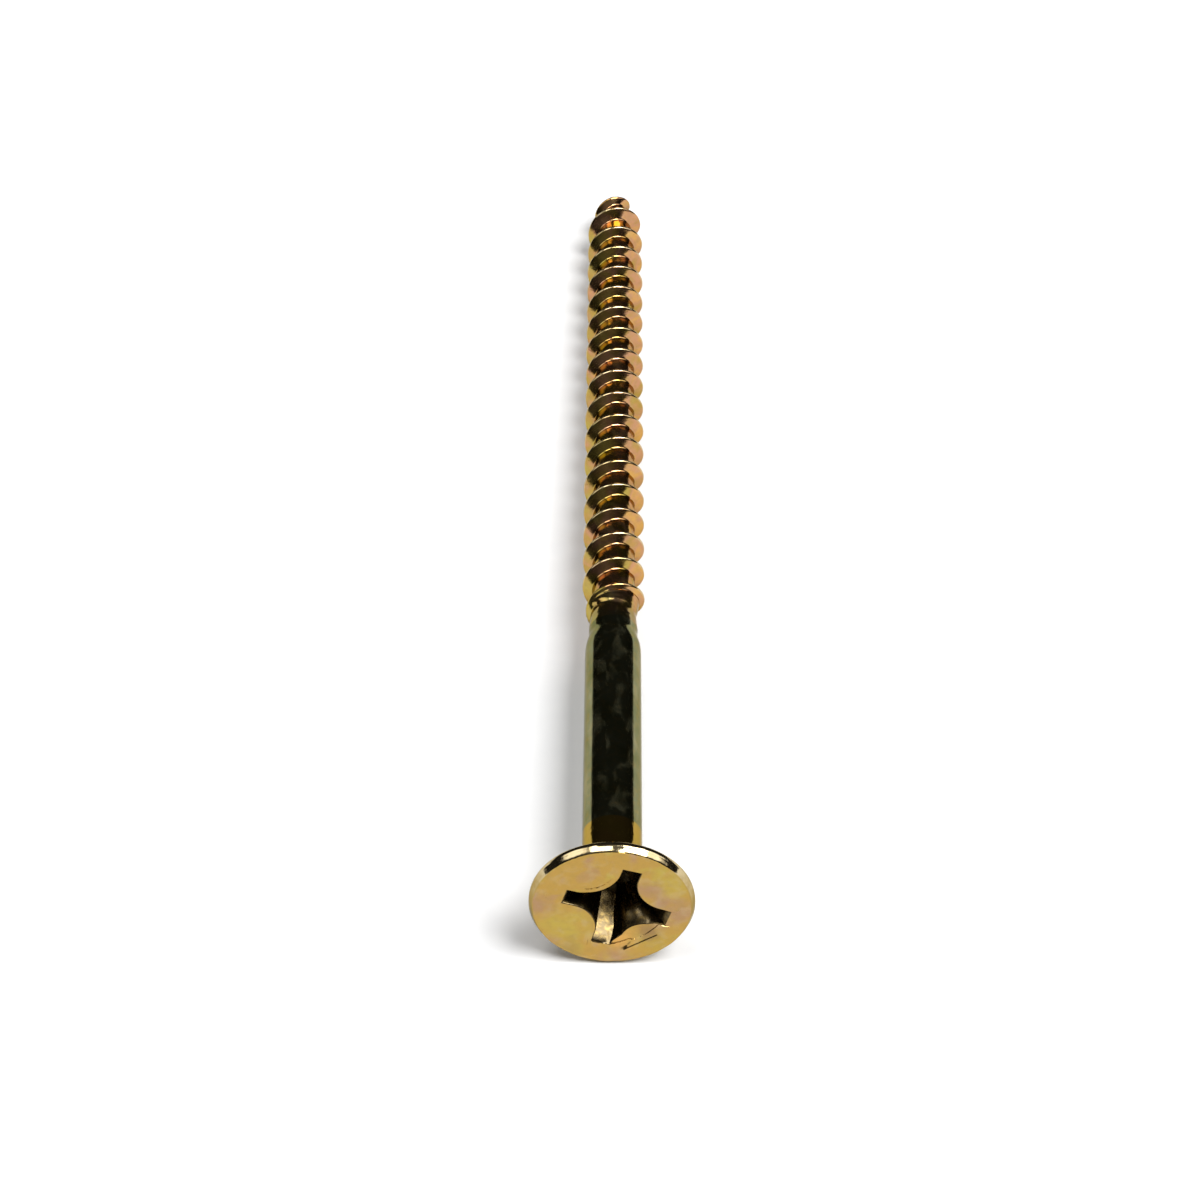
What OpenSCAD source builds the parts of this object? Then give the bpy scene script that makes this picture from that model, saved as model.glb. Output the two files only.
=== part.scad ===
// Countersunk cross-recess wood screw, part threaded, gimlet point.
// The screw lies along +Y: the head's flat face is at Y = 0 and faces -Y, the point is at +Y.
// Each zone is drawn upright, with the distance from the head's face along +Z, and then laid down.

/* [Screw] */
// Overall length from the head's face to the point
length = 63.5; // [60:0.5:76]
// Diameter of the head at its rim
head_d = 8.4; // [8:0.1:8.8]
// Diameter of the plain shank
shank_d = 3.1; // [3:0.05:3.3]
// Outside diameter of the thread
thread_d = 3.5; // [3.4:0.05:3.9]

/* [Head] */
// Diameter of the flat face inside the rounded rim
face_d = 8.0; // [7.4:0.1:8]
// Distance from the face to the widest line of the rim
rim_h = 0.45; // [0.3:0.05:0.6]
// Distance from the face to the end of the countersink cone
cone_h = 3.0; // [2.8:0.1:3.4]
// Distance from the face to the end of the fillet below the cone
fillet_end = 5; // [4.5:0.1:6]

/* [Cross recess] */
// Span of the recess across two opposite wings
recess_span = 5.4; // [4.8:0.1:5.6]
// Width of a wing at its end
wing_w = 0.92; // [0.8:0.02:1]
// Radius of the rounded lobes between the wings
lobe_r = 1.75; // [1.2:0.05:1.75]
// Depth of the wings
wing_depth = 2.5; // [2:0.1:2.5]
// Depth of the pointed bottom in the middle
recess_depth = 3.1; // [2.8:0.1:3.2]
// Turn of the cross about the screw's axis
recess_turn = 17; // [0:1:89]

/* [Neck] */
// Distance from the face to the place where the shank starts to narrow
neck_start = 18.4; // [16:0.1:18.4]
// Length of the rounded shoulder over which it narrows
shoulder_len = 1.85; // [1.4:0.05:2.2]
// Diameter of the waist in front of the thread
waist_d = 2.7; // [2.5:0.05:2.9]

/* [Thread] */
// Distance from the face to the start of the thread
thread_start = 20.66; // [20.6:0.02:24]
// Pitch of the single right-hand thread
pitch = 2.18; // [1.8:0.02:2.4]
// Diameter of the core between the turns
core_d = 2.4; // [2.2:0.05:2.6]
// Width of the narrow land on the crest
crest_w = 0.18; // [0.1:0.02:0.2]
// Angle of each flank to a plane square to the axis
flank_angle = 30; // [20:1:32]
// Share of a turn over which the ridge grows to its full height
run_in = 0.92; // [0.5:0.02:1.5]

/* [Point] */
// Length over which the core narrows to the point
point_len = 5.4; // [4:0.1:7]
// Length over which the crest narrows to the point
crest_taper = 3.6; // [3:0.1:6]
// Diameter of the blunt end of the point
tip_d = 0.8; // [0.4:0.1:1]
// Height of the ridge where it ends at the point
tip_ridge = 0.26; // [0.1:0.02:0.3]

/* [Hidden] */
$fn = 96;

head_r = head_d / 2;
face_r = face_d / 2;
shank_r = shank_d / 2;
crest_r = thread_d / 2;
core_r = core_d / 2;
waist_r = waist_d / 2;
tip_r = tip_d / 2;
fillet_start_r = shank_r + 0.08; // the cone stops this far outside the shank and a fillet goes on
recess_taper = 0.46;             // size of the recess at the depth of its wings, against its mouth
pit_r = 0.55;                    // radius of the pointed pit below the wings

neck_len = thread_start - neck_start;
thread_len = length - thread_start;
steps = 36;                                        // rows in one turn of the thread
rows = round(steps * (thread_len / pitch - 1));    // rows from the first to the last
lead = thread_len / (rows / steps + 1);            // the pitch, fitted to whole rows
ridge_at = 0.25;                                   // place of the crest within one pitch
half_crest = crest_w / 2 / lead;
half_foot = half_crest + (crest_r - core_r) * tan(flank_angle) / lead;
// Places of the profile's points along one pitch: near foot, two crest corners, far foot, next turn
places = [0, ridge_at - half_foot, ridge_at - half_crest, ridge_at + half_crest, ridge_at + half_foot, 1];
m = len(places) - 1;

laid = [-90, 0, 0];                                // turns +Z, along which each zone is drawn, to +Y
steel = [0.78, 0.64, 0.34];
steel_dark = [0.66, 0.55, 0.30];

function clamp01(t) = max(0, min(1, t));
function smooth(t) = let (c = clamp01(t)) c * c * (3 - 2 * c);
function mix(a, b, t) = a + (b - a) * t;

// Radius of the core and of the crest at a distance from the head's face
function core_at(s) =
    mix(waist_r, core_r, smooth((s - thread_start) / lead))
    - (core_r - tip_r) * pow(clamp01((s - length + point_len) / point_len), 1.3);
function crest_at(s) =
    mix(crest_r, tip_r + tip_ridge, pow(clamp01((s - length + crest_taper) / crest_taper), 1.2));

// Height of the ridge above the core on one row, none at the first
function grown(i) = smooth(i / steps / run_in);
function ridge(i, s) = max(0, crest_at(s) - core_at(s)) * grown(i);

// Point j of row i of the thread: odd places of the list lie on the core, two of them on the crest
function on_crest(j) = j == 2 || j == 3;
function row_s(i, j) = thread_start + lead * (i / steps + places[j]);
function at_angle(i, r, s) = [r * cos(360 * i / steps), r * sin(360 * i / steps), s];
function row_point(i, j) =
    let (s = row_s(i, j))
    at_angle(i, core_at(s) + (on_crest(j) ? ridge(i, s) : 0), s);

// Numbers of the points: rows first, then the open edge of the last turn, then the two end rings
first_edge = (rows + 1) * m;
first_near = first_edge + steps;
first_far = first_near + steps - 1;
function id(i, j) = j < m ? i * m + j
    : i + steps <= rows ? (i + steps) * m
    : first_edge + i - (rows - steps + 1);
function near_id(i) = i % steps == 0 ? id(0, 0) : first_near + i - 1;
function far_id(i) = i == rows || i == rows - steps ? id(rows, m) : first_far + i - (rows - steps + 1);

thread_points = concat(
    [for (i = [0:rows], j = [0:m - 1]) row_point(i, j)],
    [for (i = [rows - steps + 1:rows]) row_point(i, m)],
    [for (i = [1:steps - 1]) at_angle(i, core_at(thread_start), thread_start)],
    [for (i = [rows - steps + 1:rows - 1]) at_angle(i, core_at(length), length)]
);

function quad(a, b, c, d) = [[a, b, c], [a, c, d]];

thread_faces = concat(
    // the turns
    [for (i = [0:rows - 1], j = [0:m - 1], f = quad(id(i, j), id(i, j + 1), id(i + 1, j + 1), id(i + 1, j))) f],
    // the wall from the near ring up to the first turn
    [[near_id(0), id(1, 0), near_id(1)]],
    [for (i = [1:steps - 2], f = quad(near_id(i), id(i, 0), id(i + 1, 0), near_id(i + 1))) f],
    [[near_id(steps - 1), id(steps - 1, 0), id(0, m)]],
    [for (j = [0:m - 1]) [near_id(steps - 1), id(0, j + 1), id(0, j)]],
    // the wall from the last turn up to the far ring
    [for (i = [rows - steps + 1:rows - 2], f = quad(id(i, m), far_id(i), far_id(i + 1), id(i + 1, m))) f],
    [[id(rows - 1, m), far_id(rows - 1), id(rows, m)]],
    [[id(rows - steps + 1, m), id(rows, 0), far_id(rows - steps + 1)]],
    [for (j = [0:m - 1]) [far_id(rows - steps + 1), id(rows, j), id(rows, j + 1)]],
    // the two flat ends
    [[for (i = [0:steps - 1]) near_id(i)]],
    [[for (i = [steps - 1:-1:0]) far_id(rows - steps + 1 + i)]]
);

// Outline of the cross, with the corners between the wings filled by large round lobes
module cross_outline() {
    offset(r = -lobe_r, $fn = 48)
        offset(delta = lobe_r)
            union() {
                square([recess_span, wing_w], center = true);
                square([wing_w, recess_span], center = true);
            }
}

module cross_recess() {
    rotate([0, 0, recess_turn]) {
        linear_extrude(height = wing_depth, scale = recess_taper)
            cross_outline();
        translate([0, 0, wing_depth - 0.6])
            cylinder(h = recess_depth - wing_depth + 0.6, r1 = pit_r + 0.3, r2 = 0.1);
    }
}

// Flat face, rounded rim, countersink cone and the fillet that leads into the shank
module head_blank() {
    edge_h = rim_h * 0.6;
    rotate_extrude()
        polygon(concat(
            [[0, 0], [face_r, 0]],
            [for (a = [15:15:90]) [face_r + (head_r - face_r) * sin(a), edge_h * (1 - cos(a))]],
            [[head_r, rim_h], [fillet_start_r, cone_h]],
            [for (t = [0.1:0.15:1])
                [shank_r + (fillet_start_r - shank_r) * pow(1 - t, 3), mix(cone_h, fillet_end, t)]],
            [[shank_r, fillet_end], [0, fillet_end]]
        ));
}

module head() {
    color(steel)
        rotate(laid)
            difference() {
                head_blank();
                cross_recess();
            }
}

module shank() {
    color(steel)
        rotate(laid)
            translate([0, 0, fillet_end])
                cylinder(h = neck_start - fillet_end, r = shank_r);
}

// The shank narrows, rounds over a soft shoulder and runs on as the waist
module neck() {
    color(steel_dark)
        rotate(laid)
            translate([0, 0, neck_start])
                rotate_extrude()
                    polygon(concat(
                        [[0, 0], [shank_r, 0]],
                        [for (t = [0.15:0.1:0.95])
                            [mix(shank_r, waist_r, smooth(pow(t, 1.8))), t * shoulder_len]],
                        [[waist_r, shoulder_len], [waist_r, neck_len], [0, neck_len]]
                    ));
}

module thread() {
    color(steel_dark)
        rotate(laid)
            polyhedron(points = thread_points, faces = thread_faces, convexity = 10);
}

head();
shank();
neck();
thread();
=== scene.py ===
# %% [markdown]
# # A countersunk wood screw in yellow zinc
# A wood screw is one piece of steel wire. A press forms the head and its cross recess, a lathe or a second
# press gives the point, and two flat dies roll the thread. It is then plated with zinc and dipped in a yellow
# chromate bath, which leaves a thin film with gold, green and pink patches.
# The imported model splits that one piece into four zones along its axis: head, shank, neck and thread. Each
# zone gets its own finely stepped mesh here, and the zones meet on stretches of plain cylinder, so that no
# seam shows. Head, shank and neck are closed. The thread is closed except for its flat near end, which lies
# against the end of the neck.

# %% Load the frame
import math

import bmesh
import bpy
from mathutils import Matrix, Vector, noise


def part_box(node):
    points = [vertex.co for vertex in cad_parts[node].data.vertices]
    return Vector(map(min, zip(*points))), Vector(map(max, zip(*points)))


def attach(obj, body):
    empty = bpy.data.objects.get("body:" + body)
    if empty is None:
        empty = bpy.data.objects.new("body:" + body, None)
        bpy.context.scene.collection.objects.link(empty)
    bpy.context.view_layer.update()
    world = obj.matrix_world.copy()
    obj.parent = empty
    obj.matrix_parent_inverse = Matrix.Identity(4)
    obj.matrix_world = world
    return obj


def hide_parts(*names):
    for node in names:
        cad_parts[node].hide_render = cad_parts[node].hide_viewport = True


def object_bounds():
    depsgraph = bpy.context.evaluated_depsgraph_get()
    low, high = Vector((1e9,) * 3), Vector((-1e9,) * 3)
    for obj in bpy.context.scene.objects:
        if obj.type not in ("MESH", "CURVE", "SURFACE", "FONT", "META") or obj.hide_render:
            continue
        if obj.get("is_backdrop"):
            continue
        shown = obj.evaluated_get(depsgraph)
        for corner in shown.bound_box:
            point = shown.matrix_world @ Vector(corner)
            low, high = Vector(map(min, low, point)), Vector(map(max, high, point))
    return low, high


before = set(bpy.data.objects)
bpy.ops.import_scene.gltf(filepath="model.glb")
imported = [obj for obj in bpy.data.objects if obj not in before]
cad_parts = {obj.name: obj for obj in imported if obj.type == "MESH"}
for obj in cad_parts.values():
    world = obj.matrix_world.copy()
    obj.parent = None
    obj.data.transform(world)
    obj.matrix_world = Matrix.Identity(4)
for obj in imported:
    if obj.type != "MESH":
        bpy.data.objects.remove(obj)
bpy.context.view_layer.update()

print("nodes:", sorted(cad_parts))

# %% [markdown]
# ## Sizes
# Lengths are worked in millimetres, because that is how a screw is measured, and turned to metres at the
# end. The places where one zone ends and the next begins come from the frame, so they can't drift apart
# from the model that carries the mounts.

# %% Sizes from the frame
MM = 0.001


def far_end(node):
    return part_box(node)[1].y / MM


def near_end(node):
    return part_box(node)[0].y / MM


def widest(node):
    """Largest radius that stays inside the node's box on all four sides."""
    low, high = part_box(node)
    return min(-low.x, high.x, -low.z, high.z) / MM


length = far_end("thread")
head_r, shank_r, crest_r = widest("head"), widest("shank"), widest("thread")
head_end, neck_start, thread_start = far_end("head"), near_end("neck"), near_end("thread")
print("length %.2f, head %.2f across, thread %.2f across" % (length, 2 * head_r, 2 * crest_r))

# %% [markdown]
# ## Camera
# The screw lies with its head towards the camera and its point away, seen from above over the head. A long
# lens keeps the far end from shrinking much. The camera comes before the pieces, because everything after
# it is seen through it.

# %% Camera
camera_place = Vector((0.072, -102.03, 110.4)) * MM
looks_down = math.radians(41.36)
looks_left = math.radians(0.375)
camera_data = bpy.data.cameras.new("camera")
camera_data.sensor_width = 36
camera_data.lens = 89.4
camera_data.clip_start = 0.005
camera = bpy.data.objects.new("camera", camera_data)
camera.location = camera_place
camera.rotation_euler = (math.pi / 2 - looks_down, 0, looks_left)
bpy.context.scene.collection.objects.link(camera)
bpy.context.scene.camera = camera
print("lens %.1f mm, looking down %.1f degrees" % (camera_data.lens, math.degrees(looks_down)))

# %% [markdown]
# ## Bench top
# A screw dropped on a bench rests on two points: the rim of its head and a crest of the thread near the
# point. The bench is therefore a plane tilted by the small angle between those two, and not level under the
# axis. Behind the screw, out of sight of the camera, it falls away, so a low view from the point end isn't
# blocked by it.

# %% Bench top
rim_contact = 0.5
crest_contact = length - 4.7
bench_slope = (head_r - crest_r) / (crest_contact - rim_contact)
bench_size = 0.9
bench_flat_to = 0.1


def bench_height(y):
    """Height of the bench in metres at a distance y behind the head's face."""
    height = -head_r * MM + (y - rim_contact * MM) * bench_slope
    beyond = max(0, y - bench_flat_to)
    return height - 1.2 * beyond * beyond / (0.1 + beyond)


bm = bmesh.new()
bmesh.ops.create_grid(bm, x_segments=2, y_segments=90, size=bench_size / 2)
for v in bm.verts:
    v.co.z = bench_height(v.co.y)
bench_mesh = bpy.data.meshes.new("bench")
bm.to_mesh(bench_mesh)
bm.free()
bench_mesh.shade_smooth()
bench = bpy.data.objects.new("bench", bench_mesh)
bpy.context.scene.collection.objects.link(bench)
bench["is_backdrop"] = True
print("bench tilt %.2f degrees" % math.degrees(math.atan(bench_slope)))

# %% [markdown]
# ## Shader maths
# A procedural finish is a lot of small sums. Writing them as node links hides the formula, so one small
# class wraps a socket: +, -, * and / on it add Math nodes, and `node` adds any other kind.

# %% Wire
class Wire:
    """One output socket of a shader tree. Sums on it become Math nodes."""

    def __init__(self, tree, socket):
        self.tree = tree
        self.socket = socket

    @classmethod
    def node(cls, tree, kind, settings=None, sockets=None, output=0):
        """Adds a node: its settings first, then a value or a Wire for each named or numbered socket."""
        made = tree.nodes.new(kind)
        for name, value in (settings or {}).items():
            if name == "stops":
                cls.set_stops(made.color_ramp, value)
            else:
                setattr(made, name, value)
        for key, value in (sockets or {}).items():
            if isinstance(value, Wire):
                tree.links.new(value.socket, made.inputs[key])
            else:
                made.inputs[key].default_value = value
        return cls(tree, made.outputs[output])

    @staticmethod
    def set_stops(ramp, stops):
        while len(ramp.elements) < len(stops):
            ramp.elements.new(0.5)
        for element, (place, colour) in zip(ramp.elements, stops):
            element.position = place
            element.color = colour

    def math(self, operation, *others):
        return Wire.node(self.tree, "ShaderNodeMath", {"operation": operation}, dict(enumerate((self, *others))))

    def __add__(self, other):
        return self.math("ADD", other)

    def __sub__(self, other):
        return self.math("SUBTRACT", other)

    def __rsub__(self, other):
        flipped = self.math("MULTIPLY", -1.0)
        return flipped.math("ADD", other)

    def __mul__(self, other):
        return self.math("MULTIPLY", other)

    __radd__ = __add__
    __rmul__ = __mul__

    def between(self, low, high):
        """0 below low, 1 above high, and smooth between them."""
        settings = {"interpolation_type": "SMOOTHSTEP"}
        sockets = {"Value": self, "From Min": low, "From Max": high}
        return Wire.node(self.tree, "ShaderNodeMapRange", settings, sockets)

    def blend(self, colour_0, colour_1):
        """A colour between two, by this value."""
        settings = {"data_type": "RGBA", "clamp_factor": False}
        return Wire.node(self.tree, "ShaderNodeMix", settings, {0: self, 6: colour_0, 7: colour_1}, output=2)


def new_material(name):
    material = bpy.data.materials.new(name)
    material.use_nodes = True
    tree = material.node_tree
    shader = tree.nodes["Principled BSDF"]
    return material, tree, shader


def shown_by(tree, wire, target):
    tree.links.new(wire.socket, target)


# %% [markdown]
# ## Bench finish
# The bench is matt white card: almost no colour, with a trace of grain so that it isn't one flat value.

# %% Bench finish
bench_finish, tree, shader = new_material("white_card")
place = Wire.node(tree, "ShaderNodeTexCoord", output="Object")
grain = Wire.node(tree, "ShaderNodeTexNoise", {}, {"Vector": place, "Scale": 900.0, "Detail": 2.0})
card = grain.blend((0.86, 0.86, 0.865, 1), (0.90, 0.90, 0.90, 1))
shown_by(tree, card, shader.inputs["Base Color"])
shader.inputs["Roughness"].default_value = 0.9
shader.inputs["Specular IOR Level"].default_value = 0.15
bench_mesh.materials.append(bench_finish)
print("bench finish has", len(tree.nodes), "nodes")

# %% [markdown]
# ## Yellow zinc
# The chromate film is clear and only fractions of a micrometre thick. Where it is thinner or thicker, light
# interferes differently, so gold drifts into green and pink over a millimetre or so. The steel below has the
# marks of its making: fine grain everywhere, drawn lines along the shank and rolled facets on the thread.
# One function makes the finish, and its arguments say how much of each a zone has. Stains are the places
# where one hue settled, each given by where it is on the head, how far it reaches and its colour.

# %% Film colours
# GRAZING tints what the film reflects where it is seen edge on
GOLD = (0.42, 0.26, 0.066, 1)
STRAW = (0.40, 0.275, 0.055, 1)
GREEN = (0.42, 0.315, 0.068, 1)
PINK = (0.36, 0.215, 0.115, 1)
TAN = (0.33, 0.225, 0.07, 1)
ORANGE = (0.58, 0.32, 0.09, 1)
UMBER = (0.27, 0.165, 0.075, 1)
ROSE = (0.50, 0.255, 0.14, 1)
SAGE = (0.20, 0.21, 0.125, 1)
MOSS = (0.14, 0.15, 0.07, 1)
PALE = (0.60, 0.50, 0.31, 1)
# the next two colours are painted shade for the recess walls, much darker than the plating
PAINTED_SHADE_DEEP = (0.055, 0.036, 0.014, 1)
PAINTED_SHADE_SOFT = (0.085, 0.065, 0.035, 1)
GRAZING = (0.62, 0.58, 0.46, 1)


# %% Yellow zinc
def yellow_zinc(name, shine, hues, patch, drift=0.0, drawn=0.0, dents=0.8, scuffs=0.0, edge=None, stains=()):
    """Plated steel. shine is its roughness and hues are the film's colours from thin to thick, in the recess
    painted shade. patch is the size of a colour patch in millimetres and drift how fast the colour moves from
    left to right. drawn says how strongly it is scored along the axis, dents how uneven it is and scuffs how
    much bare dull metal shows. edge is a radius and the pale colour beyond it, on the outermost corner: partly
    wear, partly a painted highlight so that the highlights there read white."""
    material, tree, shader = new_material(name)

    def millimetres(x=1.0, y=1.0, z=1.0):
        place = Wire.node(tree, "ShaderNodeTexCoord", output="Object")
        return Wire.node(tree, "ShaderNodeMapping", {}, {"Vector": place, "Scale": (x / MM, y / MM, z / MM)})

    def cloud(size, detail=3.0, warp=0.0, where=None):
        sockets = {"Vector": where or millimetres(), "Scale": 1 / size, "Detail": detail, "Distortion": warp}
        return Wire.node(tree, "ShaderNodeTexNoise", {}, sockets)

    def distance_to(spot, where=None):
        settings = {"operation": "DISTANCE"}
        sockets = {0: where or millimetres(), 1: spot}
        return Wire.node(tree, "ShaderNodeVectorMath", settings, sockets, output="Value")

    step = 0.4 / (len(hues) - 1)
    stops = [(0.30 + k * step, hue) for k, hue in enumerate(hues)]
    rightwards = Wire.node(tree, "ShaderNodeSeparateXYZ", {}, {0: millimetres()}, output=0)
    film = cloud(patch, 2.0, 0.4) + rightwards * drift
    colour = Wire.node(tree, "ShaderNodeValToRGB", {"stops": stops}, {"Fac": film})
    # pale beyond the edge radius: partly wear, partly a painted highlight on the outermost corner
    if edge:
        outermost = distance_to((0, 0, 0), millimetres(y=0.0)).between(edge[0] - 0.06, edge[0])
        colour = (outermost * 0.8).blend(colour, edge[1])
    ragged = cloud(0.9, 5.0)
    for spot, reach, stain in stains:
        far = distance_to(spot) + (ragged - 0.5) * reach * 2.2
        colour = ((1 - far.between(0, reach * 1.3)) * 0.9).blend(colour, stain)
    mottle = cloud(0.3, 5.0).between(0.42, 0.75)
    colour = (mottle * 0.4).blend(colour, TAN)
    bare = cloud(0.7, 6.0, 0.6, millimetres(1.0, 0.5, 1.0)).between(0.48, 0.7) * scuffs
    colour = bare.blend(colour, PALE)

    tarnish = cloud(0.6, 5.0).between(0.5, 0.75)
    roughness = shine + tarnish * 0.08 + cloud(0.12, 3.0) * 0.06 - 0.03

    lines = cloud(1.0, 3.0, 0.0, millimetres(14.0, 0.5, 14.0))
    pits = Wire.node(tree, "ShaderNodeTexVoronoi", {}, {"Vector": millimetres(), "Scale": 5.0})
    height = lines * drawn + cloud(0.05, 3.0) * 0.12 + pits.between(0.0, 0.14) * 0.3 + cloud(0.45, 2.0) * dents
    bump_sockets = {"Strength": 0.3, "Distance": 0.00002, "Height": height}
    bump = Wire.node(tree, "ShaderNodeBump", {}, bump_sockets)

    shown_by(tree, colour, shader.inputs["Base Color"])
    shown_by(tree, roughness, shader.inputs["Roughness"])
    shown_by(tree, bump, shader.inputs["Normal"])
    shown_by(tree, 1 - bare * 0.3, shader.inputs["Metallic"])
    shader.inputs["Specular Tint"].default_value = GRAZING
    return material


face_stains = (
    ((-2.3, 0, -1.4), 1.6, GREEN), ((2.3, 0, -2.7), 1.2, STRAW), ((3.0, 0, 1.6), 1.2, GREEN),
    ((-2.0, 0, -3.2), 1.0, TAN), ((3.4, 0, -0.4), 1.1, PINK), ((0.2, 0, -3.8), 1.0, PINK),
    ((-3.6, 0, 0.2), 0.9, PINK), ((1.9, 0, 1.2), 0.8, PINK), ((0.5, 0, -2.4), 0.8, ORANGE),
    ((1.8, 0, -1.8), 0.7, UMBER))
# the rim keeps its pale edge colour only along the top, where the overhead lights' highlight falls, and these tan
# patches cover its sides and bottom: the pale top is a painted highlight
rim_tan_off_highlight = (((-4.1, 0.3, 0.0), 2.6, TAN), ((4.1, 0.3, 0.0), 2.4, TAN), ((0.0, 0.3, -4.1), 3.0, TAN))
face_finish = yellow_zinc(
    "yellow_zinc_face", 0.2, (GREEN, GOLD, GOLD, PINK), 1.5, dents=1.2, scuffs=0.15, stains=face_stains)
# the recess is coloured near black: painted shade in the recess
recess_finish = yellow_zinc("yellow_zinc_recess", 0.24, (PAINTED_SHADE_DEEP, PAINTED_SHADE_SOFT, PAINTED_SHADE_DEEP), 0.5, dents=1.6)
rim_finish = yellow_zinc(
    "yellow_zinc_rim", 0.1, (GOLD, STRAW, GOLD), 2.0, dents=2.2, edge=(4.05, PALE), stains=rim_tan_off_highlight)
shank_finish = yellow_zinc(
    "yellow_zinc_shank", 0.11, (MOSS, SAGE, MOSS), 2.5, drawn=0.35, dents=0.7, scuffs=0.16)
# the pale edge on the crests is partly wear and partly a painted highlight, so that the crest lines read white; the
# colour shifts from green on the left to pink and orange on the right
thread_finish = yellow_zinc(
    "yellow_zinc_thread", 0.13, (GREEN, GOLD, ROSE, ORANGE), 1.4, drift=0.06, dents=2.2, scuffs=0.1,
    edge=(1.745, PALE), stains=(((0, 20.3, 0), 2.4, SAGE), ((0, length, 0), 1.5, SAGE)))
print("finishes:", [f.name for f in (face_finish, recess_finish, rim_finish, shank_finish, thread_finish)])

# %% [markdown]
# ## From outline to piece
# Every zone is modelled upright in millimetres, with the distance from the head's face as height, because
# that is how an outline is easiest to write. `piece_from` lays it down along +Y, brings it to metres, splits
# the shading at hard corners and hands it to the frame.

# %% piece_from
HARD_CORNER = math.radians(38)
laid_down = Matrix.Rotation(math.radians(-90), 4, "X") @ Matrix.Scale(MM, 4)


def piece_from(bm, name, node, *finishes):
    bmesh.ops.recalc_face_normals(bm, faces=bm.faces)
    bmesh.ops.transform(bm, matrix=laid_down, verts=bm.verts)
    for face in bm.faces:
        face.smooth = True
    for edge in bm.edges:
        edge.smooth = len(edge.link_faces) == 2 and edge.calc_face_angle() < HARD_CORNER
    mesh = bpy.data.meshes.new(name)
    bm.to_mesh(mesh)
    open_edges = sum(len(edge.link_faces) != 2 for edge in bm.edges)
    bm.free()
    for finish in finishes:
        mesh.materials.append(finish)
    piece = bpy.data.objects.new(name, mesh)
    bpy.context.scene.collection.objects.link(piece)
    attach(piece, "root")
    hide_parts(node)
    print(name, len(mesh.polygons), "faces,", open_edges, "open edges")
    return piece


def smooth(t):
    t = max(0.0, min(1.0, t))
    return t * t * (3 - 2 * t)


def mix(a, b, t):
    return a + (b - a) * t


# %% [markdown]
# ## Shank
# The shank is the drawn wire itself: a plain cylinder. Its outline is a straight line with a point on the
# axis at each end, and one full spin closes it. The rings are close together so that the faint waviness of
# drawn wire has something to move.

# %% Spun solids
ROUND_STEPS = 128


def spun(outline):
    """A closed solid from (distance, radius) pairs that start and end on the axis."""
    bm = bmesh.new()
    corners = [bm.verts.new((radius, 0, distance)) for distance, radius in outline]
    sides = [bm.edges.new(pair) for pair in zip(corners, corners[1:])]
    bmesh.ops.spin(
        bm, geom=corners + sides, cent=(0, 0, 0), axis=(0, 0, 1),
        angle=2 * math.pi, steps=ROUND_STEPS, use_merge=True, use_duplicate=False)
    bmesh.ops.remove_doubles(bm, verts=bm.verts, dist=0.0005)
    return bm


# %% Shank
shank_rings = 60
wire = [(mix(head_end, neck_start, k / shank_rings), shank_r) for k in range(shank_rings + 1)]
bm = spun([(head_end, 0), *wire, (neck_start, 0)])
piece_from(bm, "plain_shank", "shank", shank_finish)

# %% [markdown]
# ## Neck
# The thread dies squeeze the wire in front of the first turn, so the shank narrows, rounds over a soft
# shoulder and runs on as a waist. One eased curve between the two radii gives that shape.

# %% Neck
waist_r = 1.35
shoulder_share = 0.82
neck_rings = 40


def neck_outline(t):
    return mix(shank_r, waist_r, smooth(min(1, t / shoulder_share) ** 1.8))


neck = [(mix(neck_start, thread_start, k / neck_rings), neck_outline(k / neck_rings)) for k in range(neck_rings + 1)]
bm = spun([(neck_start, 0), *neck, (thread_start, 0)])
piece_from(bm, "neck_and_waist", "neck", shank_finish)

# %% [markdown]
# ## Thread and point
# A thread is one outline, a single pitch long, swept along a helix. `spin` does that when it is given a
# small step along the axis with each turn. Only one turn is swept, because every other turn is the same:
# copies of it, each one lead further on, meet it along an edge, and merging doubles sews them together. The
# result is longer than the thread at both ends. Every point is then moved in or out: the ridge grows from
# nothing over the first turn, and the core and the crest narrow to the gimlet point. Last, both ends are cut
# off square. The fill makes a face at the far end only, and `piece_from` prints the open edges that are left.

# %% Thread outline
TURN_STEPS = 84
pitch = 2.18
core_r = 1.2
ridge_at = 0.25
crest_round = 0.13
flank_angle = math.radians(30)
root_fillet = 0.16
finest_step = 0.065
thread_len = length - thread_start
turns = round((thread_len / pitch - 1) * 36) / 36
lead = thread_len / (turns + 1)


def ridge_outline():
    """One pitch of the thread as (distance, radius): root, fillet, flank, round crest and back again."""
    lean, rise = math.sin(flank_angle), math.cos(flank_angle)
    crest = [
        (crest_round * math.sin(a), crest_r - crest_round * (1 - math.cos(a)))
        for a in (0, 0.25, 0.5, 0.75, math.pi / 2 - flank_angle)]
    flank_x, flank_top = crest[-1]
    foot_r = core_r + root_fillet * (1 - lean)
    foot_x = flank_x + (flank_top - foot_r) * math.tan(flank_angle)
    fillet = [
        (foot_x + root_fillet * (rise - math.cos(a)), core_r + root_fillet * (1 - math.sin(a)))
        for a in (flank_angle, 0.72, 0.93, 1.14, 1.35, math.pi / 2)]
    half = crest + fillet
    centre = ridge_at * lead
    near = [(centre - x, r) for x, r in reversed(half)]
    far = [(centre + x, r) for x, r in half[1:]]
    return near + far + [(near[0][0] + lead, core_r)]


outline = ridge_outline()
print("thread outline has", len(outline), "points over a lead of %.3f" % lead)

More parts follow.
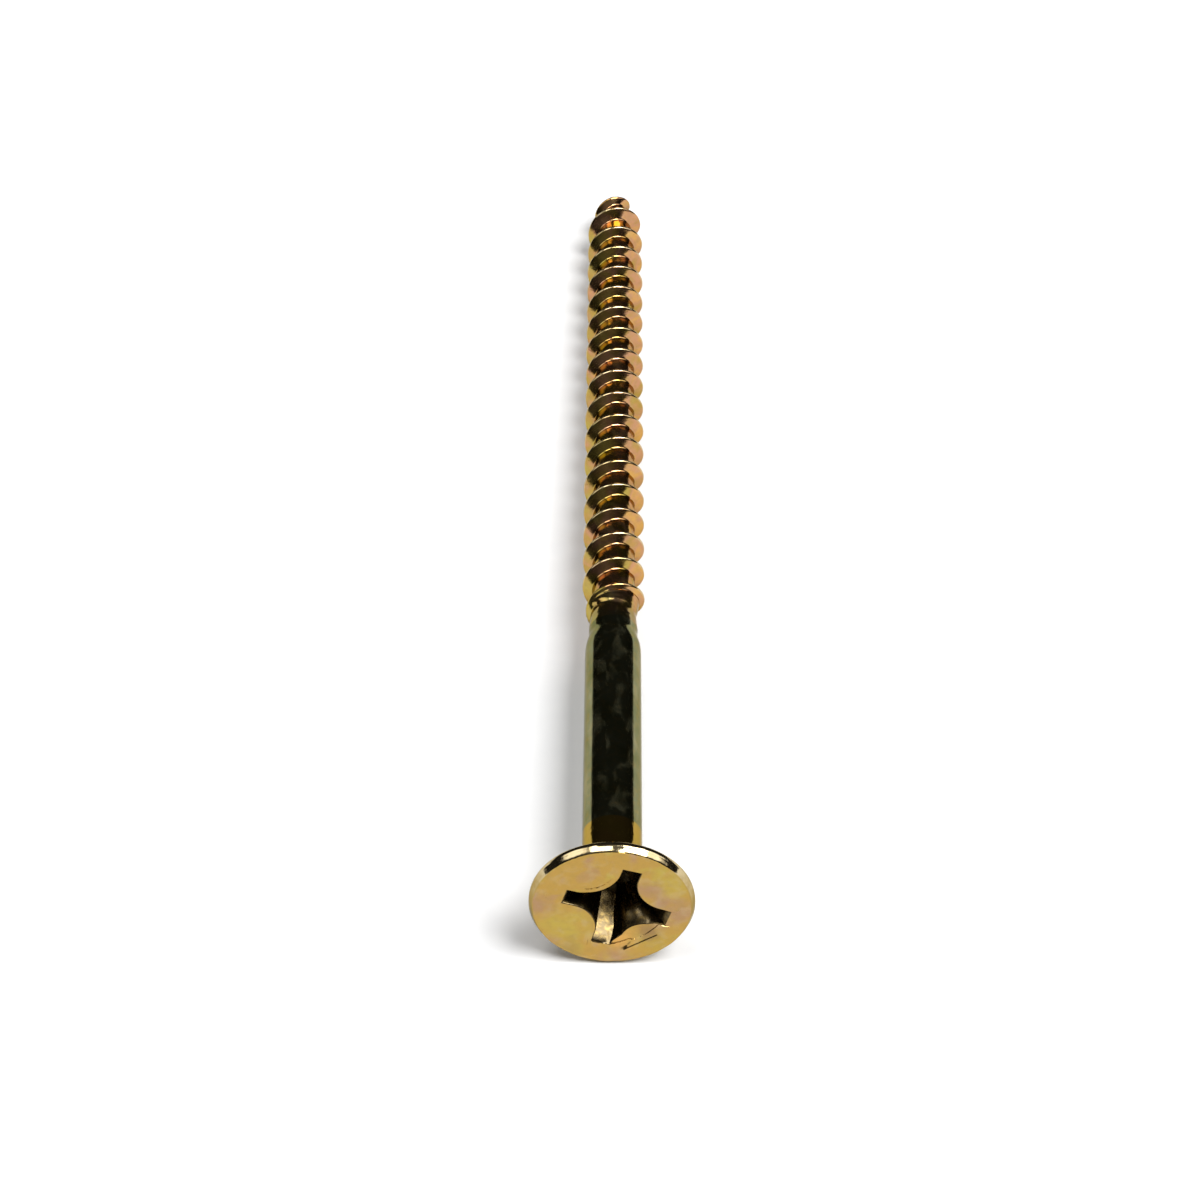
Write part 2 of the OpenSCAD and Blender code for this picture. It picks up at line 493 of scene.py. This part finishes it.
# %% Radii along the thread
point_len = 5.4
crest_taper = 3.6
tip_r = 0.4
tip_ridge = 0.24
run_in = 0.92
notch_from = length - 0.95
notch_depth = 0.25
notch_half_angle = 0.4
crest_wear = 0.025
waviness = 0.012


def core_at(s):
    squeezed = mix(waist_r, core_r, smooth((s - thread_start) / lead))
    narrowing = max(0.0, (s - length + point_len) / point_len) ** 1.3
    return squeezed - (core_r - tip_r) * min(1.0, narrowing)


def crest_at(s):
    narrowing = max(0.0, (s - length + crest_taper) / crest_taper) ** 1.2
    return mix(crest_r, tip_r + tip_ridge, min(1.0, narrowing))


def rounded_tip(s):
    """1 along the screw, falling to 0 at its very end like the side of a ball."""
    inside = max(0.0, (s - (length - tip_r)) / tip_r)
    return math.sqrt(max(0.0, 1 - min(1.0, inside) ** 2))


# %% [markdown]
# The first turn on a real screw is never clean. The dies push metal ahead of the ridge and fold it over, and
# that leaves a low shelf with two sharp lines in front of the first crest. `lap` gives the height of that
# shelf from how far a point is in front of the crest and how many turns the ridge has made there.

# %% Lapped start
lap_height = 0.27
lap_reach = 1.45
fold_height = 0.022
fold_half_width = 0.10


def lap(behind, turn):
    """Height of the shelf, for a point that is `behind` millimetres in front of the crest."""
    reach = lap_reach * smooth((turn - 0.42) / 0.5)
    if reach < 0.05 or behind < 0 or behind > reach:
        return 0.0
    strength = 1 - smooth((turn - 1.02) / 0.22)
    shelf = lap_height * (1 - (behind / reach) ** 2)
    folds = sum(max(0.0, 1 - abs(behind - share * reach) / fold_half_width) for share in (0.27, 0.75))
    return strength * (shelf + fold_height * folds)


# %% Thread and point
bm = bmesh.new()
corners = [bm.verts.new((r, 0, thread_start - lead + s)) for s, r in outline]
sides = [bm.edges.new(pair) for pair in zip(corners, corners[1:])]
for side in sides:
    bmesh.ops.subdivide_edges(bm, edges=[side], cuts=int(side.calc_length() / finest_step))
bmesh.ops.spin(
    bm, geom=bm.verts[:] + bm.edges[:], cent=(0, 0, 0), axis=(0, 0, 1), dvec=(0, 0, lead / TURN_STEPS),
    angle=2 * math.pi, steps=TURN_STEPS, use_duplicate=False)
one_turn = bm.verts[:] + bm.edges[:] + bm.faces[:]
for k in range(1, int(turns) + 3):
    copy = bmesh.ops.duplicate(bm, geom=one_turn)["geom"]
    moved = [g for g in copy if isinstance(g, bmesh.types.BMVert)]
    bmesh.ops.translate(bm, vec=(0, 0, k * lead), verts=moved)
bmesh.ops.remove_doubles(bm, verts=bm.verts, dist=0.002)

for v in bm.verts:
    s = v.co.z
    radius = math.hypot(v.co.x, v.co.y)
    share = (math.atan2(v.co.y, v.co.x) / (2 * math.pi)) % 1
    turn = round((s - thread_start) / lead - ridge_at - share) + share
    next_turn = math.ceil((s - thread_start) / lead - ridge_at - share) + share
    in_front = (next_turn + ridge_at) * lead + thread_start - s
    core, crest = core_at(s), crest_at(s)
    worn = crest_wear * noise.noise(Vector((1.3 * s, 0.9 * turn * math.tau, 0)))
    ridge = (radius - core_r) / (crest_r - core_r) * smooth(turn / run_in) * max(0.0, crest - core - worn)
    uneven = waviness * noise.noise(v.co * 2.2)
    wanted = (max(core + ridge, core + lap(in_front, next_turn)) + uneven) * rounded_tip(s)
    off_top = abs(math.atan2(v.co.x, -v.co.y))
    wanted -= notch_depth * smooth(1 - off_top / notch_half_angle) * smooth((s - notch_from) / 0.5) * rounded_tip(s)
    v.co.x *= wanted / radius
    v.co.y *= wanted / radius

for place, outward in ((thread_start, -1), (length - 0.004, 1)):
    bmesh.ops.bisect_plane(
        bm, geom=bm.verts[:] + bm.edges[:] + bm.faces[:], dist=0.0001, plane_co=(0, 0, place),
        plane_no=(0, 0, outward), clear_outer=True)
    rim = [edge for edge in bm.edges if edge.is_boundary and abs(edge.verts[0].co.z - place) < 0.001]
    bmesh.ops.edgeloop_fill(bm, edges=rim)
bmesh.ops.dissolve_degenerate(bm, dist=0.0002, edges=bm.edges)
piece_from(bm, "thread_and_point", "thread", thread_finish)

# %% [markdown]
# ## Head
# The head starts from the mouth of its cross recess, because that is the only outline that isn't round. One
# lobe is a point spun about the lobe's centre, and three turned copies complete the cross. The same outline,
# smaller and deeper each time, gives the rings of the recess, and bridging joins them. Outwards, the mouth
# is bridged to a circle for the flat face, and that circle is extruded along the rim, the cone and the
# fillet.

# %% Cross outline
LOBE_STEPS = 40
WING_END_CUTS = 11


def cross_ring(bm, depth, half_span, half_width, lobe_r):
    """One closed outline of the recess at a depth, as a list of its edges."""
    old_verts, old_edges = set(bm.verts), set(bm.edges)
    middle = half_width + lobe_r
    start = bm.verts.new((middle, half_width, depth))
    arc = bmesh.ops.spin(
        bm, geom=[start], cent=(middle, middle, depth), axis=(0, 0, -1), angle=math.pi / 2,
        steps=LOBE_STEPS, use_duplicate=False)
    near_corner = bm.verts.new((half_span, half_width, depth))
    far_corner = bm.verts.new((half_width, half_span, depth))
    bm.edges.new((near_corner, start))
    bm.edges.new((arc["geom_last"][0], far_corner))
    quarter = [v for v in bm.verts if v not in old_verts] + [e for e in bm.edges if e not in old_edges]
    corners = [(near_corner, far_corner)]
    for quarter_turn in (1, 2, 3):
        copy = bmesh.ops.duplicate(bm, geom=quarter)
        made = [g for g in copy["geom"] if isinstance(g, bmesh.types.BMVert)]
        turn = Matrix.Rotation(quarter_turn * math.pi / 2, 3, "Z")
        bmesh.ops.rotate(bm, verts=made, cent=(0, 0, 0), matrix=turn)
        corners.append((copy["vert_map"][near_corner], copy["vert_map"][far_corner]))
    ends = [bm.edges.new((corners[k][1], corners[(k + 1) % 4][0])) for k in range(4)]
    bmesh.ops.subdivide_edges(bm, edges=ends, cuts=WING_END_CUTS)
    return [edge for edge in bm.edges if edge not in old_edges]


# %% Recess sizes
half_span = 2.7
half_wing = 0.46
lobe_reach = 1.39
wing_depth = 2.5
recess_turn = math.radians(17)
end_slope = 0.584
mouth_round = 0.05
off_centre = 0.22


def recess_at(depth, grow=0.0):
    """Half span, half width and lobe radius of the recess at a depth, opened out by grow."""
    width = half_wing - 0.03 * depth
    reach = lobe_reach - 0.20 * depth
    lobe = (reach - math.sqrt(2) * width) / (math.sqrt(2) - 1)
    return half_span - end_slope * depth + grow, width + grow, lobe - grow


FACE, RECESS, RIM = 0, 1, 2


def bridged(bm, ring_a, ring_b, zone):
    faces = bmesh.ops.bridge_loops(bm, edges=ring_a + ring_b)["faces"]
    for face in faces:
        face.material_index = zone
    return faces


def drawn_out(bm, ring, factor, depth, zone):
    """A ring of edges drawn out to another depth and scaled about the axis; returns the new ring."""
    made = bmesh.ops.extrude_edge_only(bm, edges=ring)["geom"]
    verts = [part for part in made if isinstance(part, bmesh.types.BMVert)]
    bmesh.ops.scale(bm, vec=(factor, factor, 1), verts=verts)
    for v in verts:
        v.co.z = depth
    for part in made:
        if isinstance(part, bmesh.types.BMFace):
            part.material_index = zone
    return [part for part in made if isinstance(part, bmesh.types.BMEdge)]


# %% Head
bm = bmesh.new()
mouth = cross_ring(bm, 0.0, *recess_at(0.0, mouth_round))
ring = mouth
for depth, grow in ((0.012, 0.022), (0.05, 0.0), (0.4, 0.0), (0.9, 0.0), (1.4, 0.0), (1.9, 0.0), (wing_depth, 0.0)):
    deeper = cross_ring(bm, depth, *recess_at(depth, grow))
    bridged(bm, ring, deeper, RECESS)
    ring = deeper
for depth, factor in ((2.7, 0.72), (2.95, 0.45), (3.06, 0.5)):
    ring = drawn_out(bm, ring, factor, depth, RECESS)
bmesh.ops.edgeloop_fill(bm, edges=ring, mat_nr=RECESS)

turned = Matrix.Rotation(recess_turn, 4, "Z")
bmesh.ops.rotate(bm, verts=bm.verts, cent=(0, 0, 0), matrix=turned.to_3x3())
bmesh.ops.translate(bm, vec=(off_centre, 0, 0), verts=bm.verts)

# the face's circle stands off the mouth while the two are bridged, so that both are followed the same way round
face_r = 4.0
stand_off = Matrix.Translation((0, 0, -1))
rim_verts = bmesh.ops.create_circle(bm, segments=len(mouth), radius=face_r, matrix=stand_off @ turned)["verts"]
on_rim = set(rim_verts)
rim_ring = [edge for edge in bm.edges if on_rim.issuperset(edge.verts)]
bridged(bm, mouth, rim_ring, FACE)
for v in rim_verts:
    v.co.z = 0
spokes = [edge for edge in bm.edges if len(on_rim.intersection(edge.verts)) == 1]
bmesh.ops.subdivide_edges(bm, edges=spokes, cuts=26, use_grid_fill=True)
print("face bridged over", len(mouth), "edges")

rim_outline = [
    (face_r + 0.03, 0.012), (face_r + 0.06, 0.04), (face_r + 0.105, 0.11), (face_r + 0.145, 0.19),
    (face_r + 0.17, 0.25), (head_r - 0.012, 0.29), (head_r - 0.004, 0.33), (head_r, 0.39), (head_r, 0.50),
    (head_r - 0.006, 0.53), (4.175, 0.56)]
rim_end_r, rim_end = rim_outline[-1]
flare = 0.08
cone_end, cone_r = 3.0, shank_r + flare
cone = [(mix(rim_end_r, cone_r, k / 10), mix(rim_end, cone_end, k / 10)) for k in range(1, 11)]
fillet = [
    (shank_r + flare * (1 - k / 12) ** 3, mix(cone_end, head_end, k / 12)) for k in range(1, 13)]
radius_now = face_r
ring = rim_ring
for radius, distance in rim_outline + cone + fillet:
    ring = drawn_out(bm, ring, radius / radius_now, distance, RIM)
    radius_now = radius
bmesh.ops.edgeloop_fill(bm, edges=ring, mat_nr=RIM)

# %% [markdown]
# The driver slipped when this screw was turned once, and pressed two flats into the face beside the recess.
# A sharp crease bounds them. It also drove the lobe between two wings back, and rolled the edge of the
# opposite lobe over a little. `driven_back` says where a place on the hit lobe went, and `pressed` how deep
# the face is at a place. The same places get a finer mesh first, so that the crease is sharp.

# %% Marks on the face
crease_start, crease_bend, crease_end = Vector((0.63, -3.21)), Vector((2.37, -2.07)), Vector((2.62, -1.19))
step_bend, step_top = Vector((1.02, -2.67)), Vector((1.16, -1.78))
flat_left = -0.10
flat_low = -3.26
lobe_edge = recess_at(0.0)[2]
lobe_away = math.sqrt(2) * (recess_at(0.0)[1] + lobe_edge)
lobe_side = math.radians(118)
towards_lobe = Vector((math.cos(lobe_side), math.sin(lobe_side)))
rolled_lobe = Vector((off_centre, 0)) + lobe_away * towards_lobe
hit_lobe = Vector((off_centre, 0)) - lobe_away * towards_lobe


def left_of(place, start, end):
    """Distance to the left of the line from start to end."""
    return (end - start).normalized().cross(place - start)


driven = 0.41
rolled_width, rolled_depth = 0.3, 0.05
groove_at, groove_half_width, groove_depth = 0.31, 0.07, 0.035


def driven_back(place, depth):
    """Where a place on the lobe that the driver hit ends up: nearer the lobe's centre. The lobe's edge runs
    from about 60 to 175 degrees round that centre, and the cut fades out at both ends and with depth."""
    away = place - hit_lobe
    angle = math.degrees(math.atan2(away.y, away.x))
    cut = driven * smooth((178 - angle) / 29) * smooth((angle - 57) / 32)
    share = min(1.0, away.length / lobe_edge) ** 2 * smooth((2.5 - away.length) / 0.3)
    cut *= share * (1 - smooth((depth - 0.1) / 1.4))
    return place - cut * away.normalized()


def pressed(place):
    """How deep the face is at a place."""
    depth = 0.0
    inside_lobe = lobe_edge - (place - rolled_lobe).length
    turned_by = math.atan2(*reversed(place - rolled_lobe)) - (lobe_side - math.pi)
    if place.length < 2.7 and inside_lobe < 0.4 and abs(turned_by) < 0.75:
        rolled = rolled_depth * max(0.0, 1 - max(0.0, inside_lobe) / rolled_width) ** 2
        groove = groove_depth * max(0.0, 1 - abs(inside_lobe - groove_at) / groove_half_width)
        depth += (rolled + groove) * smooth((0.75 - abs(turned_by)) / 0.3)
    if place.y > -0.9:
        return depth
    above_crease = min(left_of(place, crease_start, crease_bend), left_of(place, crease_bend, crease_end))
    before_step = min(left_of(place, crease_start, step_bend), left_of(place, step_bend, step_top))
    right_flat = 0.06 * smooth(above_crease / 0.12) + 0.12 * smooth(above_crease / 0.9)
    left_flat = 0.18 * smooth((place.x - flat_left) / 1.1) * smooth((place.y - flat_low) / 0.35)
    return depth + mix(right_flat, left_flat, smooth(before_step / 0.12))


def on_face(v):
    return math.hypot(v.co.x, v.co.y) < face_r - 0.02 and v.co.z < 0.02


for left, right, low, high in ((-0.4, 2.7, -3.4, -1.0), (-2.4, 0.5, 0.9, 2.7)):
    marked = [
        edge for edge in bm.edges
        if all(on_face(v) and left < v.co.x < right and low < -v.co.y < high for v in edge.verts)]
    bmesh.ops.subdivide_edges(bm, edges=marked, cuts=2, use_grid_fill=True)
for v in bm.verts:
    place = Vector((v.co.x, -v.co.y))
    radius = place.length
    if radius < face_r - 0.01 and v.co.z < wing_depth:
        place = driven_back(place, v.co.z)
        v.co.x, v.co.y = place.x, -place.y
    if v.co.z < 0.06 and radius < face_r - 0.01:
        v.co.z += pressed(place) + 0.012 * (1 + noise.noise(v.co * 0.9)) * smooth((face_r - radius) / 0.3)
    elif face_r <= radius < head_r - 0.01 and v.co.z < 0.35:
        wave = 0.7 * noise.noise(v.co * 1.4) + 0.3 * noise.noise(v.co * 4.0)
        inward = 1 - 0.006 * (1 + wave)
        v.co.x *= inward
        v.co.y *= inward
piece_from(bm, "recessed_head", "head", face_finish, recess_finish, rim_finish)

# %% [markdown]
# ## Light
# Polished metal shows what stands around it more than it shows light. The dark stripe along the shank is the
# unlit room above the bench's horizon, its pale edges are the bench, and the fine lines on the crests and
# the bright band on the rim are two soft lights overhead with a gap between them. The stronger one is on the
# right, so the shadow falls to the left.

# %% Lights
def towards(across, forward):
    """A direction: across is its angle up from the right, and forward its lean away from the camera."""
    a, f = math.radians(across), math.radians(forward)
    return Vector((math.cos(a) * math.cos(f), math.sin(f), math.sin(a) * math.cos(f)))


LIGHT_DISTANCE = 1.2
middle = Vector((0, 0.03, 0))


def soft_light(name, across, forward, wide, deep, brightness):
    """A soft box by direction, angular width and depth, and how much brighter it is than the bench."""
    data = bpy.data.lights.new(name, "AREA")
    data.shape = "RECTANGLE"
    data.size = 2 * LIGHT_DISTANCE * math.tan(math.radians(wide / 2))
    data.size_y = 2 * LIGHT_DISTANCE * math.tan(math.radians(deep / 2))
    data.energy = brightness * math.pi * data.size * data.size_y
    lamp = bpy.data.objects.new(name, data)
    away = towards(across, forward)
    side = towards(across - 90, 0)
    lamp.matrix_world = Matrix.Translation(middle + LIGHT_DISTANCE * away) @ Matrix(
        (side, away.cross(side), away)).transposed().to_4x4()
    bpy.context.scene.collection.objects.link(lamp)
    print(name, "%.1f W" % data.energy)


soft_light("key_right", 63, -17, 29, 30, 12.4)
soft_light("fill_left", 103, -8, 21, 26, 5.4)

# %% Room
world = bpy.data.worlds.new("room")
bpy.context.scene.world = world
world.use_nodes = True
tree = world.node_tree
background = tree.nodes["Background"]
direction = Wire.node(tree, "ShaderNodeTexCoord", output="Generated")
up = Wire.node(tree, "ShaderNodeSeparateXYZ", {}, {0: direction}, output=2)


def glow(across, forward, spread, brightness):
    """A soft patch of light on the walls."""
    along = Wire.node(tree, "ShaderNodeVectorMath", {"operation": "DOT_PRODUCT"},
                      {0: direction, 1: towards(across, forward)}, output="Value")
    return along.between(math.cos(math.radians(spread)), math.cos(math.radians(spread / 4))) * brightness


unlit = 0.014
beside_lights = glow(38, -8, 23, 2.2) + glow(136, -4, 22, 2.0)
overhead = glow(85, -20, 60, 0.15)
walls = unlit + beside_lights + overhead + glow(90, -75, 50, 0.04) + glow(90, 52, 60, 0.012)
below = 1 - up.between(-0.03, 0.03)
level = walls * (1 - below) + below * 0.9
seen = Wire.node(tree, "ShaderNodeLightPath", output="Is Camera Ray")
room = level.blend((0, 0, 0, 1), (1, 1, 1, 1))
shown_by(tree, seen.blend(room, (1.0, 1.0, 1.0, 1)), background.inputs["Color"])
bpy.context.scene.view_settings.view_transform = "Standard"

# %% [markdown]
# ## Size of the pieces
# The last cell prints the box of the finished pieces, leaving out the bench.

# %% Print the size
low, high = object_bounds()
print("visual box", [round(x / MM, 2) for x in (*low, *high)])
